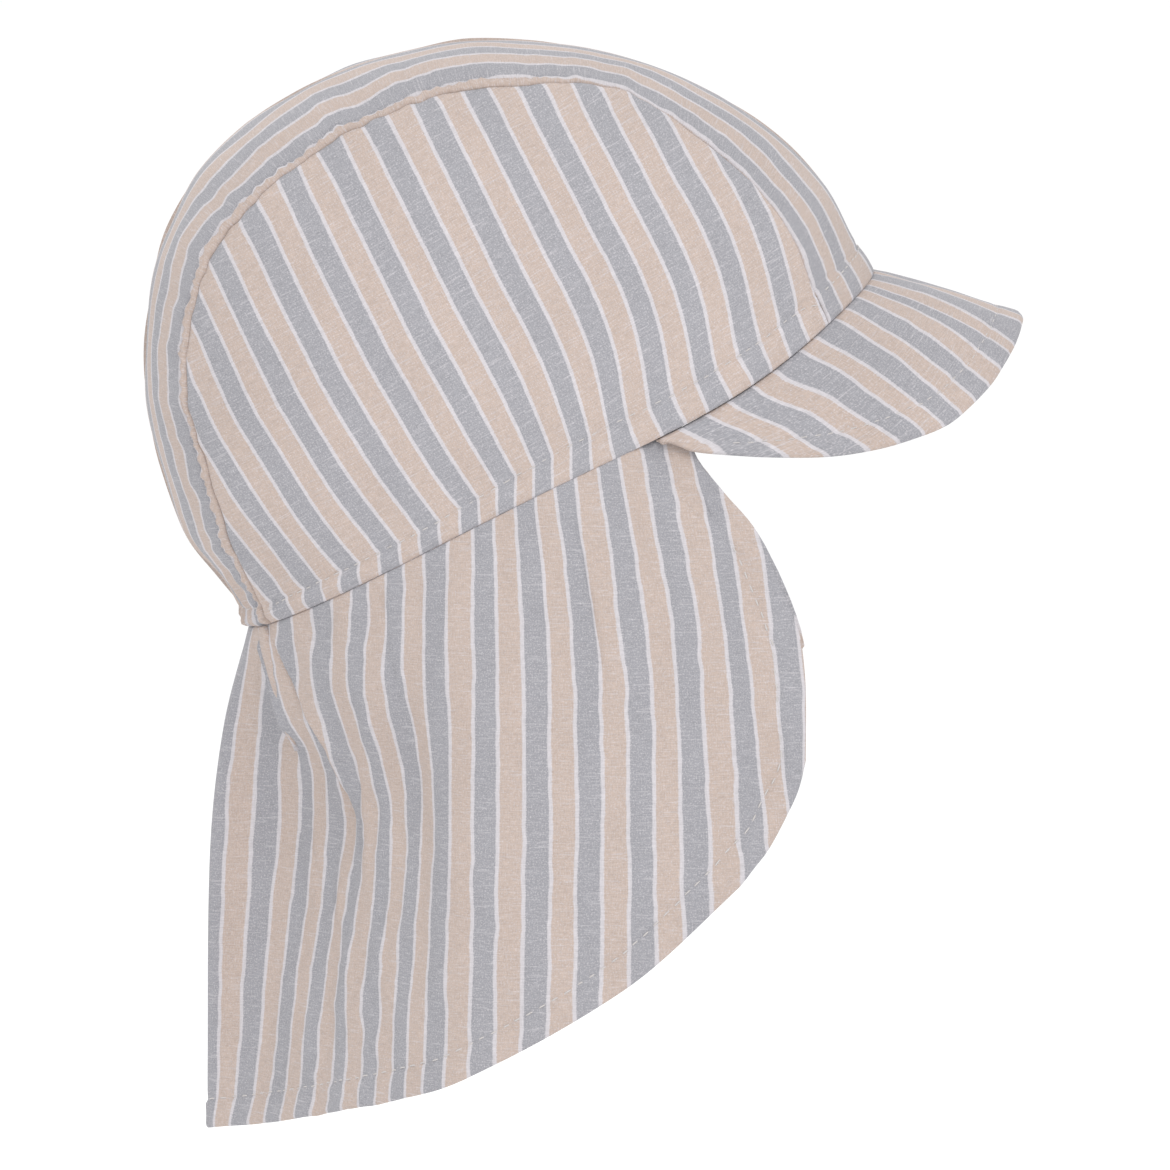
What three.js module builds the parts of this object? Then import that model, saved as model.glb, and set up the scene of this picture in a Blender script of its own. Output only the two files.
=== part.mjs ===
// Legionnaire cap: a striped cloth sun cap for a toddler, with a short peak and a long neck flap.
// Millimetres. +Z is up, +X is the way the peak points and +Y is the wearer's left.
// The origin is the middle of the head opening, whose plane rises towards the peak by TILT.
import * as THREE from "three";

// Driving sizes
const HALF_LENGTH = 87.8; // head opening, middle to front
const HALF_WIDTH = 71; // head opening, middle to side
const CROWN_HEIGHT = 106.8; // from the opening's plane to the top of the crown
const TILT = THREE.MathUtils.degToRad(29.5); // the opening's plane rises towards the front
const ROUNDNESS = 2.2; // exponent of the crown's cross sections, 2 is an ellipse
const CROWN_WALL = 1.4; // cloth of the crown with its turned seams
const FLAP_WALL = 1.2; // doubled cloth of the neck flap
const PEAK_WALL = 2.2; // cloth over a soft stiffener
const FLAP_DROP = 124; // neck flap at the centre of the back, straight down
const NOSE = 2.2; // radius of the flap's fold at the centre of the back
const GAP = 0.32; // between neighbouring pieces
const SIDE_DIP = 4.3; // how far the edge of the opening sags beside the temples
const SEAM_HEIGHT = 0.9; // rolled seam between the crown panels
const SEAM_WIDTH = 3.2;
const GATHER_DEPTH = 0.8; // gathers of the elastic at the nape
const GATHER_PITCH = 9.4;
const PEAK_TIP = HALF_LENGTH + 25.2; // how far forward the peak reaches
const PEAK_BACK = HALF_LENGTH * 0.216; // where the peak's ends meet the opening
const PEAK_SIDE = HALF_WIDTH - 1.2; // half the width of the peak

// The crown's outline in its middle plane, from front to nape.
// along: share of HALF_LENGTH, high: share of CROWN_HEIGHT
const CROWN_PROFILE = [
  { along: 1.0, high: 0.0 },
  { along: 0.994, high: 0.089 },
  { along: 0.995, high: 0.236 },
  { along: 0.928, high: 0.42 },
  { along: 0.777, high: 0.616 },
  { along: 0.555, high: 0.794 },
  { along: 0.254, high: 0.938 },
  { along: -0.091, high: 1.0 },
  { along: -0.409, high: 0.972 },
  { along: -0.671, high: 0.86 },
  { along: -0.852, high: 0.677 },
  { along: -0.959, high: 0.49 },
  { along: -1.017, high: 0.233 },
  { along: -0.999, high: 0.06 },
  { along: -0.991, high: 0.0 },
];

// Half the width of the centre panel, as a share of HALF_WIDTH.
// turn: degrees round the crown from the front of the opening, over the top, to the nape
const CENTRE_PANEL = [
  { turn: 0, wide: 0.65 },
  { turn: 15, wide: 0.605 },
  { turn: 38, wide: 0.52 },
  { turn: 56, wide: 0.455 },
  { turn: 68, wide: 0.48 },
  { turn: 84, wide: 0.51 },
  { turn: 104, wide: 0.535 },
  { turn: 122, wide: 0.5 },
  { turn: 138, wide: 0.475 },
  { turn: 150, wide: 0.515 },
  { turn: 162, wide: 0.505 },
  { turn: 172, wide: 0.455 },
  { turn: 180, wide: 0.4 },
];

// How steeply the peak falls away, at shares of its half width.
const PEAK_FALL = [
  { side: 0, fall: 0.29 },
  { side: 0.23, fall: 0.315 },
  { side: 0.365, fall: 0.392 },
  { side: 0.47, fall: 0.467 },
  { side: 0.55, fall: 0.544 },
  { side: 0.64, fall: 0.61 },
  { side: 0.72, fall: 0.659 },
  { side: 0.835, fall: 0.655 },
  { side: 0.9, fall: 0.61 },
  { side: 0.94, fall: 0.545 },
  { side: 0.98, fall: 0.418 },
  { side: 1, fall: 0.3 },
];

// The neck flap hangs on guides that run down the cloth, from the centre of the back to the front edge.
// cloth: millimetres of cloth from the centre of the back
// seat: where the guide is sewn to the opening, as a share of HALF_LENGTH
// top, fan, mid, hem: places down the guide as shares of HALF_LENGTH (x) and HALF_WIDTH (y)
// topZ, hemZ: heights of its ends as shares of FLAP_DROP
const FLAP_GUIDES = [
  { cloth: 0, seat: -0.991, fan: [-0.935, 0], mid: [-0.975, 0], hem: [-0.987, 0], hemZ: -1.347 },
  { cloth: 15.5, seat: -0.955, fan: [-0.795, -0.15], mid: [-0.786, -0.06], hem: [-0.868, -0.155], hemZ: -1.327 },
  { cloth: 34.1, seat: -0.875, fan: [-0.719, -0.366], mid: [-0.653, -0.246], hem: [-0.754, -0.38], hemZ: -1.295 },
  { cloth: 52.7, seat: -0.74, fan: [-0.618, -0.606], mid: [-0.549, -0.472], hem: [-0.628, -0.592], hemZ: -1.26 },
  { cloth: 71.3, seat: -0.581, fan: [-0.5, -0.803], mid: [-0.448, -0.69], hem: [-0.503, -0.803], hemZ: -1.223 },
  { cloth: 96.1, seat: -0.322, fan: [-0.278, -0.972], mid: [-0.276, -0.958], hem: [-0.292, -1.0], hemZ: -1.161 },
  { cloth: 133.3, seat: 0.051, fan: [0.1, -1.007], mid: [0.136, -1.014], hem: [0.138, -1.028], hemZ: -0.988 },
  { cloth: 158.1, seat: 0.31, fan: [0.347, -0.985], mid: [0.395, -1.01], hem: [0.44, -1.028], hemZ: -0.797 },
  { cloth: 161.5, top: [0.338, -0.94], topZ: 0.012, fan: [0.387, -0.99], mid: [0.43, -1.012], hem: [0.479, -1.028], hemZ: -0.762 },
  { cloth: 166.2, top: [0.4, -0.975], topZ: -0.043, fan: [0.436, -1.0], mid: [0.468, -1.015], hem: [0.522, -1.028], hemZ: -0.722 },
  { cloth: 172.4, top: [0.496, -0.995], topZ: -0.125, fan: [0.519, -1.01], mid: [0.538, -1.018], hem: [0.575, -1.028], hemZ: -0.651 },
  { cloth: 176.5, top: [0.57, -1.01], topZ: -0.24, fan: [0.582, -1.015], mid: [0.593, -1.02], hem: [0.604, -1.028], hemZ: -0.603 },
  { cloth: 179.5, top: [0.614, -1.017], topZ: -0.343, fan: [0.62, -1.02], mid: [0.624, -1.022], hem: [0.623, -1.025], hemZ: -0.545 },
  { cloth: 181.3, top: [0.632, -1.02], topZ: -0.42, fan: [0.634, -1.022], mid: [0.635, -1.023], hem: [0.633, -1.024], hemZ: -0.5 },
];
const FAN_AT = 0.2; // how far down a guide its fan and mid places are, as shares of its length
const MID_AT = 0.45;
const TUCK = 3.6; // the flap's front corners are tucked this far inside the peak's ends

// Folds that run down the flap, each a rounded ridge.
// from, to: millimetres of cloth from the centre of the back, at the fold's top and bottom
// start, end: shares of the way down, high and wide in millimetres
const FLAP_FOLDS = [
  { from: 16, to: 24, start: -0.2, end: 0.42, high: 2.6, wide: 4.5 },
  { from: 34, to: 44, start: -0.1, end: 0.48, high: 2.2, wide: 4.5 },
  { from: 58, to: 55, start: 0.2, end: 1.05, high: 1.3, wide: 6 },
  { from: 78, to: 80, start: 0.1, end: 0.9, high: -1.2, wide: 6 },
  { from: 118, to: 128, start: -0.05, end: 0.5, high: 1.6, wide: 5 },
  { from: 146, to: 150, start: 0, end: 1, high: -1.2, wide: 10 },
];

const CLOTH_COLOURS = { crown: 0xbfb6b0, centre: 0xb4afb0, peak: 0xc6bab2, flap: 0xbcb3ae };

// A smooth curve through a table's rows: the value of one column at a place on another.
function through(xs, ys, x) {
  const last = xs.length - 1;
  let i = 0;
  while (i < last - 1 && x > xs[i + 1]) i += 1;
  const slope = (k) => {
    const a = Math.max(k - 1, 0);
    const b = Math.min(k + 1, last);
    return (ys[b] - ys[a]) / (xs[b] - xs[a]);
  };
  const h = xs[i + 1] - xs[i];
  const t = THREE.MathUtils.clamp((x - xs[i]) / h, 0, 1);
  const a = 2 * t ** 3 - 3 * t ** 2 + 1;
  const b = t ** 3 - 2 * t ** 2 + t;
  const c = t ** 3 - t ** 2;
  return a * ys[i] + (1 - a) * ys[i + 1] + h * (b * slope(i) + c * slope(i + 1));
}

const column = (table, name) => table.map((row) => row[name]);
const smooth = THREE.MathUtils.smoothstep;
const mix = THREE.MathUtils.lerp;
const bump = (x) => Math.exp(-x * x);

// From the opening's plane to the part's frame
function tilted(x, y, z) {
  const c = Math.cos(TILT);
  const s = Math.sin(TILT);
  return new THREE.Vector3(x * c - z * s, y, x * s + z * c);
}

// The crown's middle outline as distance from the origin at each turn round it
const outlineCurve = new THREE.SplineCurve(
  CROWN_PROFILE.map((row) => new THREE.Vector2(row.along * HALF_LENGTH, row.high * CROWN_HEIGHT)),
);
const OUTLINE = outlineCurve.getPoints(420).map((p) => ({
  turn: Math.atan2(Math.max(p.y, 0), p.x),
  reach: p.length(),
}));

function reachAt(turn) {
  const t = THREE.MathUtils.clamp(turn, 0, Math.PI);
  let low = 0;
  let high = OUTLINE.length - 1;
  while (high - low > 1) {
    const half = (low + high) >> 1;
    if (OUTLINE[half].turn <= t) low = half;
    else high = half;
  }
  const a = OUTLINE[low];
  const b = OUTLINE[high];
  return mix(a.reach, b.reach, THREE.MathUtils.clamp((t - a.turn) / (b.turn - a.turn || 1), 0, 1));
}

const narrowing = (y) => Math.max(1 - Math.abs(y / HALF_WIDTH) ** ROUNDNESS, 0) ** (1 / ROUNDNESS);

// The side of the crown as a depth over its middle plane
function sideDepth(x, z) {
  const up = Math.max(z, 0);
  const share = Math.min(Math.hypot(x, up) / reachAt(Math.atan2(up, x)), 1);
  return HALF_WIDTH * Math.max(1 - share ** ROUNDNESS, 0) ** (1 / ROUNDNESS);
}

// Height of the opening's edge over its plane, at a place x along it
function edgeHeight(x) {
  const turn = Math.acos(THREE.MathUtils.clamp(x / HALF_LENGTH, -1, 1));
  return -SIDE_DIP * bump((THREE.MathUtils.radToDeg(turn) - 62) / 29);
}

const panelHalf = (turn) =>
  HALF_WIDTH * through(column(CENTRE_PANEL, "turn"), column(CENTRE_PANEL, "wide"), THREE.MathUtils.radToDeg(turn));

// Gathers of the nape elastic: waves across the cloth that die out up the crown
function gathers(along, height, x) {
  const nape = smooth(-x, 0.45 * HALF_LENGTH, 0.9 * HALF_LENGTH);
  const low = Math.exp(-Math.max(height, 0) / 12);
  return GATHER_DEPTH * nape * low * Math.cos((2 * Math.PI * along) / GATHER_PITCH);
}

// A point of the crown's centre panel: turn round the crown, side from -1 to 1
function centrePoint(turn, side) {
  const half = panelHalf(turn) - GAP / 2;
  const y = side * half;
  const reach = reachAt(turn);
  const bead = (1 - Math.abs(side)) * half;
  const roll = SEAM_HEIGHT * Math.sin(Math.PI * Math.min(bead / SEAM_WIDTH, 1)) * smooth(turn, 0.9, 1.4);
  const ripple = gathers(y, reach * Math.sin(turn), reach * Math.cos(turn));
  const r = (reach + roll + ripple) * narrowing(y);
  const x = r * Math.cos(turn);
  const foot = Math.exp(-Math.max(r * Math.sin(turn), 0) / 8);
  return tilted(x, y, r * Math.sin(turn) + foot * edgeHeight(x));
}

// A point of the right side panel: share from front to nape, share from the opening up to the seam
const SIDE_NAPE = Math.PI - 0.03;
function sidePoint(share, up) {
  const turn = mix(0, SIDE_NAPE, share);
  const seamY = panelHalf(turn) + GAP / 2;
  const seamR = reachAt(turn) * narrowing(seamY);
  const seamX = seamR * Math.cos(turn);
  const seamZ = seamR * Math.sin(turn);
  const frontX = reachAt(0) * narrowing(panelHalf(0) + GAP / 2);
  const napeX = -reachAt(Math.PI) * narrowing(panelHalf(Math.PI) + GAP / 2);
  const spread = share + 0.04 * Math.sin(2 * Math.PI * share);
  const footX = mix(frontX, napeX, spread);
  const x = mix(footX, seamX, up);
  const z = mix(edgeHeight(footX), seamZ, up);
  const depth = sideDepth(x, z);
  const ripple = gathers(x * 1.2, z, x) * (1 - up) * smooth(up, -0.2, 0.05);
  const out = 1 + ripple / Math.hypot(x, depth);
  return tilted(x * out, -depth * out, z);
}

// A point of the peak: side from -1 to 1, share from the opening out to its edge
function peakPoint(side, out) {
  const w = 0.9985 * Math.sin((side * Math.PI) / 2);
  const y = w * PEAK_SIDE;
  const bandX = HALF_LENGTH * narrowing(y);
  const seat = tilted(bandX, y, edgeHeight(bandX) - GAP);
  const edgeX = PEAK_BACK + (PEAK_TIP - PEAK_BACK) * (1 - Math.abs(w) ** 2.3) ** (1 / 2.3);
  const fall = through(column(PEAK_FALL, "side"), column(PEAK_FALL, "fall"), Math.abs(w));
  const length = Math.max(edgeX - seat.x, 0.6);
  const bow = 1.6 * Math.sin(Math.PI * out) * Math.min(length / 30, 1);
  return new THREE.Vector3(seat.x + length * out, y, seat.z - fall * length * out + bow);
}

// A place on the edge of the opening, on the right side
function seatPoint(x, inside) {
  const along = THREE.MathUtils.clamp(x, -0.991 * HALF_LENGTH, HALF_LENGTH);
  const turnShare = Math.min(Math.abs(along) / (along < 0 ? 0.991 * HALF_LENGTH : HALF_LENGTH), 1);
  const depth = HALF_WIDTH * (1 - turnShare ** ROUNDNESS) ** (1 / ROUNDNESS);
  return tilted(along, -Math.max(depth - inside, 0), edgeHeight(along) - GAP);
}

// A guide's place at its top, its fan, its mid and its hem
function guidePlaces(row) {
  const flat = (pair) => new THREE.Vector2(pair[0] * HALF_LENGTH, pair[1] * HALF_WIDTH);
  const seat = row.top ? null : seatPoint(row.seat * HALF_LENGTH, TUCK * smooth(row.seat, 0.14, 0.26));
  const top = row.top ? flat(row.top) : new THREE.Vector2(seat.x, seat.y);
  return { top, fan: flat(row.fan), mid: flat(row.mid), hem: flat(row.hem), topZ: seat ? seat.z : row.topZ * FLAP_DROP };
}
const PLACES = FLAP_GUIDES.map(guidePlaces);
const CLOTH = column(FLAP_GUIDES, "cloth");
const CLOTH_END = CLOTH[CLOTH.length - 1];
const SEATED = FLAP_GUIDES.filter((row) => !row.top);
const LAST_SEAT = SEATED[SEATED.length - 1].cloth;

// The right half of the flap without its folds: cloth from the centre of the back, share down
function flapBase(cloth, down) {
  const s = Math.sqrt(cloth * cloth + NOSE * NOSE) - NOSE;
  const at = (pick) => through(CLOTH, PLACES.map(pick), s);
  const levels = ["top", "fan", "mid", "hem"];
  const x = through([0, FAN_AT, MID_AT, 1], levels.map((k) => at((p) => p[k].x)), down);
  const y = through([0, FAN_AT, MID_AT, 1], levels.map((k) => at((p) => p[k].y)), down);
  const topZ = at((p) => p.topZ);
  const hemZ = through(CLOTH, column(FLAP_GUIDES, "hemZ"), s) * FLAP_DROP;
  const point = new THREE.Vector3(x, y, mix(topZ, hemZ, down));
  if (cloth <= LAST_SEAT) {
    const share = through(column(SEATED, "cloth"), column(SEATED, "seat"), s);
    const seat = seatPoint(share * HALF_LENGTH, TUCK * smooth(share, 0.14, 0.26));
    const hold = Math.max(1 - down / FAN_AT, 0) ** 2;
    point.x += hold * (seat.x - at((p) => p.top.x));
    point.y += hold * (seat.y - at((p) => p.top.y));
    point.z += hold * (seat.z - topZ);
  }
  point.y = -Math.sqrt(point.y ** 2 + (NOSE * Math.tanh(cloth / NOSE)) ** 2 * bump(cloth / 14));
  return point;
}

function flapPoint(signedCloth, down) {
  const cloth = Math.abs(signedCloth);
  const point = flapBase(cloth, down);
  const e = 0.6;
  const across = flapBase(cloth + e, down).sub(flapBase(Math.max(cloth - e, 0), down));
  const out = new THREE.Vector3(across.y, -across.x, 0).normalize();
  let lift = 0;
  for (const fold of FLAP_FOLDS) {
    const way = (down - fold.start) / (fold.end - fold.start);
    if (way <= 0 || way >= 1) continue;
    const middle = mix(fold.from, fold.to, way);
    lift += fold.high * Math.sin(Math.PI * way) * bump((cloth - middle) / fold.wide);
  }
  point.addScaledVector(out, lift * smooth(down, 0, 0.06) * smooth(cloth, 2, 9));
  if (signedCloth > 0) point.y *= -1;
  return point;
}

// A closed sheet: the outer face is a grid of points, the inner face lies a wall away from it.
function sheet(name, columns, rows, place, wall, faces, colour) {
  const ids = new Map();
  const outer = [];
  const id = [];
  for (const u of columns) {
    for (const v of rows) {
      const p = place(u, v);
      const key = [p.x, p.y, p.z].map((value) => Math.round(value * 500)).join();
      if (!ids.has(key)) {
        ids.set(key, outer.length);
        outer.push(p);
      }
      id.push(ids.get(key));
    }
  }
  const triangles = [];
  const add = (a, b, c) => {
    if (a !== b && b !== c && c !== a) triangles.push([a, b, c]);
  };
  for (let i = 0; i + 1 < columns.length; i += 1) {
    for (let j = 0; j + 1 < rows.length; j += 1) {
      const k = i * rows.length + j;
      const [a, b, c, d] = [id[k], id[k + rows.length], id[k + rows.length + 1], id[k + 1]];
      if (outer[a].distanceTo(outer[c]) <= outer[b].distanceTo(outer[d])) {
        add(a, b, c);
        add(a, c, d);
      } else {
        add(a, b, d);
        add(b, c, d);
      }
    }
  }
  const normals = outer.map(() => new THREE.Vector3());
  for (const [a, b, c] of triangles) {
    const n = outer[b].clone().sub(outer[a]).cross(outer[c].clone().sub(outer[a]));
    for (const k of [a, b, c]) normals[k].add(n);
  }
  normals.forEach((n) => n.normalize());
  const agree = normals.reduce((sum, n, k) => sum + n.dot(faces(outer[k])), 0);
  const sign = agree < 0 ? -1 : 1;
  const inner = outer.map((p, k) => p.clone().addScaledVector(normals[k], -sign * wall));
  const size = outer.length;
  const all = triangles.map(([a, b, c]) => (sign > 0 ? [a, b, c] : [a, c, b]));
  const edges = new Map();
  for (const t of all) {
    for (let k = 0; k < 3; k += 1) {
      const [a, b] = [t[k], t[(k + 1) % 3]];
      if (edges.has(b + "," + a)) edges.delete(b + "," + a);
      else edges.set(a + "," + b, [a, b]);
    }
  }
  const solid = [...all, ...all.map(([a, b, c]) => [a + size, c + size, b + size])];
  for (const [a, b] of edges.values()) {
    solid.push([b, a, a + size], [b, a + size, b + size]);
  }
  const points = [...outer, ...inner];
  const geometry = new THREE.BufferGeometry();
  geometry.setAttribute("position", new THREE.Float32BufferAttribute(points.flatMap((p) => [p.x, p.y, p.z]), 3));
  geometry.setIndex(solid.flat());
  geometry.computeVertexNormals();
  const mesh = new THREE.Mesh(geometry, new THREE.MeshStandardMaterial({ color: colour, roughness: 0.9 }));
  mesh.name = name;
  return mesh;
}

const steps = (count, from, to) => Array.from({ length: count + 1 }, (_, i) => mix(from, to, i / count));
const fromMiddle = (p) => p.clone().sub(tilted(0, 0, 20)).normalize();
const fromNeck = (p) => new THREE.Vector3(p.x + 20, p.y, 0).normalize();
const upwards = () => new THREE.Vector3(0, 0, 1);

const across = [0, 0.13, 0.26, 0.39, 0.52, 0.65, 0.77, 0.87, 0.925, 0.965, 1];
const bothWays = [...across.slice(1).reverse().map((w) => -w), ...across];
const flapHalf = [0, 1.2, 2.8, 5, 8, 11, 14, 17, 20, 23, 27, 31, 35, 39, 43, 48, 53, 59, 66, 74, 83, 93, 104, 115, 121, 127, 134, 142, 150, 157, 161.5, 166, 170, 173.5, 176.5, 179.5, CLOTH_END];
const flapAcross = [...flapHalf.slice(1).reverse().map((s) => -s), ...flapHalf];

const cap = new THREE.Group();
cap.name = "legionnaire_cap";
cap.add(
  sheet("crown_centre_panel", steps(38, 0, Math.PI), bothWays, centrePoint, CROWN_WALL, fromMiddle, CLOTH_COLOURS.centre),
  sheet("crown_right_panel", steps(32, 0, 1), steps(12, 0, 1), sidePoint, CROWN_WALL, fromMiddle, CLOTH_COLOURS.crown),
  sheet(
    "crown_left_panel",
    steps(32, 0, 1),
    steps(12, 0, 1),
    (share, up) => sidePoint(share, up).multiply(new THREE.Vector3(1, -1, 1)),
    CROWN_WALL,
    fromMiddle,
    CLOTH_COLOURS.crown,
  ),
  sheet("peak", steps(30, -1, 1), steps(6, 0, 1), peakPoint, PEAK_WALL, upwards, CLOTH_COLOURS.peak),
  sheet("neck_flap", flapAcross, steps(14, 0, 1), flapPoint, FLAP_WALL, fromNeck, CLOTH_COLOURS.flap),
);

export default cap;
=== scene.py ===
"""Legionnaire cap: a striped cotton sun cap with a short peak and a long neck flap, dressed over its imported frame.

The shapes are worked out from the same named sizes as the solids, in millimetres, and built in metres.
+X is the way the peak points, +Y the wearer's left, and the origin is the middle of the head opening.
"""

import math

import bpy
import numpy as np
from mathutils import Matrix


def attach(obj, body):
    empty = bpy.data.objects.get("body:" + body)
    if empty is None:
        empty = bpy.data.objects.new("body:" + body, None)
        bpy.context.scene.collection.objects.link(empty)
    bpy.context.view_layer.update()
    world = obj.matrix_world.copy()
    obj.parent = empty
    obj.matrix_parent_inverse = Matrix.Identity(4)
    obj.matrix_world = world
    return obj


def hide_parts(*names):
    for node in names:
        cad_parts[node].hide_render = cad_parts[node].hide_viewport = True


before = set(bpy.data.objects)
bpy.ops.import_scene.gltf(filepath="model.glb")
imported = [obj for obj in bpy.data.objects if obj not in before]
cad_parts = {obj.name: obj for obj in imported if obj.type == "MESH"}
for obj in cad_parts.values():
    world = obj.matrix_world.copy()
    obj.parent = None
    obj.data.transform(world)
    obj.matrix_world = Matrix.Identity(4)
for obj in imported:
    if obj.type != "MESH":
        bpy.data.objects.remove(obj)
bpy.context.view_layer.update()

MM = 0.001

# Driving sizes, in millimetres
HALF_LENGTH = 87.8
HALF_WIDTH = 71.0
CROWN_HEIGHT = 106.8
TILT = math.radians(29.5)
ROUNDNESS = 2.2
CROWN_WALL = 1.3
FLAP_WALL = 1.1
PEAK_WALL = 2.0
FLAP_DROP = 124.0
NOSE = 2.2
SEAT_GAP = 0.04  # between the crown's edge and what is sewn to it
SEAM_GAP = 0.12  # between the crown's panels
PEAK_TUCK = 1.1  # how far the peak goes in under that edge
SIDE_DIP = 4.3
SEAM_HEIGHT = 1.0
SEAM_WIDTH = 1.8
GATHER_DEPTH = 0.8
GATHER_PITCH = 9.4
PEAK_TIP = HALF_LENGTH + 25.2
PEAK_BACK = HALF_LENGTH * 0.216
PEAK_SIDE = HALF_WIDTH - 1.2
STRIPE = 6.2  # pitch of the white lines
CENTRE_COUNT = 5.5  # stripes from the centre panel's seam to its middle line
HEM = 7.0  # the hem's stitches from the flap's edge
PEAK_HEM = 6.5  # the same on the peak
STITCH = 2.3
STITCH_GAP = 1.1
STITCH_RISE = [-0.22, 0.08, 0.17, 0.17, 0.08, -0.22]  # along one stitch
STITCH_THICK = [0.12, 0.21, 0.24, 0.24, 0.21, 0.12]
SIDE_PITCH = 12.4  # two lines of the side panels along the opening
FOLD_REACH = 9  # grid steps over which the crown's small relief is averaged for its wall

# The crown's outline in its middle plane: shares of HALF_LENGTH and CROWN_HEIGHT
CROWN_PROFILE = [
    (1.0, 0.0), (0.994, 0.089), (0.995, 0.236), (0.928, 0.42), (0.777, 0.616),
    (0.555, 0.794), (0.254, 0.938), (-0.091, 1.0), (-0.409, 0.972), (-0.671, 0.86),
    (-0.852, 0.677), (-0.959, 0.49), (-1.017, 0.233), (-0.999, 0.06), (-0.991, 0.0),
]
# Half the centre panel's width as a share of HALF_WIDTH, by degrees round the crown
CENTRE_TURN = [0, 15, 38, 45, 51, 57, 68, 84, 104, 122, 138, 150, 162, 172, 180]
CENTRE_WIDE = [0.65, 0.605, 0.52, 0.468, 0.42, 0.432, 0.48, 0.51, 0.535, 0.5, 0.475, 0.515, 0.505, 0.455, 0.4]
# The peak's fall by its share of half width
PEAK_SHARE = [0, 0.23, 0.365, 0.47, 0.55, 0.64, 0.72, 0.835, 0.9, 0.94, 0.98, 1]
PEAK_FALL = [0.29, 0.315, 0.392, 0.467, 0.544, 0.61, 0.659, 0.655, 0.61, 0.545, 0.418, 0.3]
# The peak's white lines: half width at the band and at the outer edge
PEAK_LINES = [
    (0, 0), (5.8, 8.2), (12, 16.5), (20, 25.5), (25.2, 28.8), (29, 34.2), (34.2, 39), (40.1, 43.6), (44.4, 47.3),
    (50.9, 51.3), (54.6, 54.8), (59.8, 58.4), (62.8, 61.7), (65.4, 65.1), (67.2, 67.3), (68.8, 69.3), (70.4, 71),
]
# The neck flap's guides: cloth from the centre of the back, seat on the opening, places at the top,
# fan, mid and hem, and the heights of both ends
SEATED = [
    (0, -0.991, (-0.935, 0), (-0.975, 0), (-0.987, 0), -1.347),
    (15.5, -0.955, (-0.795, -0.15), (-0.786, -0.06), (-0.868, -0.155), -1.327),
    (34.1, -0.875, (-0.719, -0.366), (-0.653, -0.246), (-0.754, -0.38), -1.295),
    (52.7, -0.74, (-0.618, -0.606), (-0.549, -0.472), (-0.628, -0.592), -1.26),
    (71.3, -0.581, (-0.5, -0.803), (-0.448, -0.69), (-0.503, -0.803), -1.223),
    (96.1, -0.322, (-0.278, -0.972), (-0.276, -0.958), (-0.292, -1.0), -1.161),
    (133.3, 0.051, (0.1, -1.007), (0.136, -1.014), (0.138, -1.028), -0.988),
    (158.1, 0.31, (0.347, -0.985), (0.395, -1.01), (0.44, -1.028), -0.797),
]
FREE = [
    (161.5, (0.338, -0.94), 0.012, (0.387, -0.99), (0.43, -1.012), (0.479, -1.028), -0.762),
    (166.2, (0.4, -0.975), -0.043, (0.436, -1.0), (0.468, -1.015), (0.522, -1.028), -0.722),
    (172.4, (0.496, -0.995), -0.125, (0.519, -1.01), (0.538, -1.018), (0.575, -1.028), -0.651),
    (176.5, (0.57, -1.01), -0.24, (0.582, -1.015), (0.593, -1.02), (0.604, -1.028), -0.603),
    (179.5, (0.614, -1.017), -0.343, (0.62, -1.02), (0.624, -1.022), (0.623, -1.025), -0.545),
    (181.3, (0.632, -1.02), -0.42, (0.634, -1.022), (0.635, -1.023), (0.633, -1.024), -0.5),
]
FAN_AT = 0.2
MID_AT = 0.45
TUCK = 3.6
# Rounded folds down the flap: cloth at top and bottom, start and end down it, height and width
FLAP_FOLDS = [
    (58, 55, 0.2, 1.05, 1.3, 6), (78, 80, 0.1, 0.9, -1.2, 6), (146, 150, 0.0, 1.0, -1.2, 10),
]
# Pleats, in rows down the flap. Cloth: last seen of the lower layer, turn below, edge of the upper layer.
# crease: where that edge lies on the flap; deep: how far the cloth runs on below it
PLEATS = [
    {
        "spread": (26, 40),
        "rows": [
            {"down": 0.0, "seen": 11.0, "turn": 18.0, "edge": 24.6, "crease": 17.5, "deep": 4.5},
            {"down": 0.05, "seen": 12.2, "turn": 18.5, "edge": 24.6, "crease": 19.3, "deep": 4.5},
            {"down": 0.15, "seen": 15.2, "turn": 20.0, "edge": 24.7, "crease": 22.5, "deep": 3.2},
            {"down": 0.21, "seen": 18.0, "turn": 21.6, "edge": 24.8, "crease": 24.9, "deep": 1.8},
            {"down": 0.26, "seen": 21.4, "turn": 23.4, "edge": 25.0, "crease": 27.2, "deep": 0.4},
            {"down": 0.3, "seen": 24.4, "turn": 24.7, "edge": 25.0, "crease": 27.4, "deep": 0.0},
            {"down": 0.36, "seen": 24.4, "turn": 24.7, "edge": 25.0, "crease": 25.8, "deep": 0.0},
            {"down": 0.44, "seen": 24.4, "turn": 24.7, "edge": 25.0, "crease": 25.0, "deep": 0.0},
        ],
        "high": 2.9,
    },
]
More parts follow.
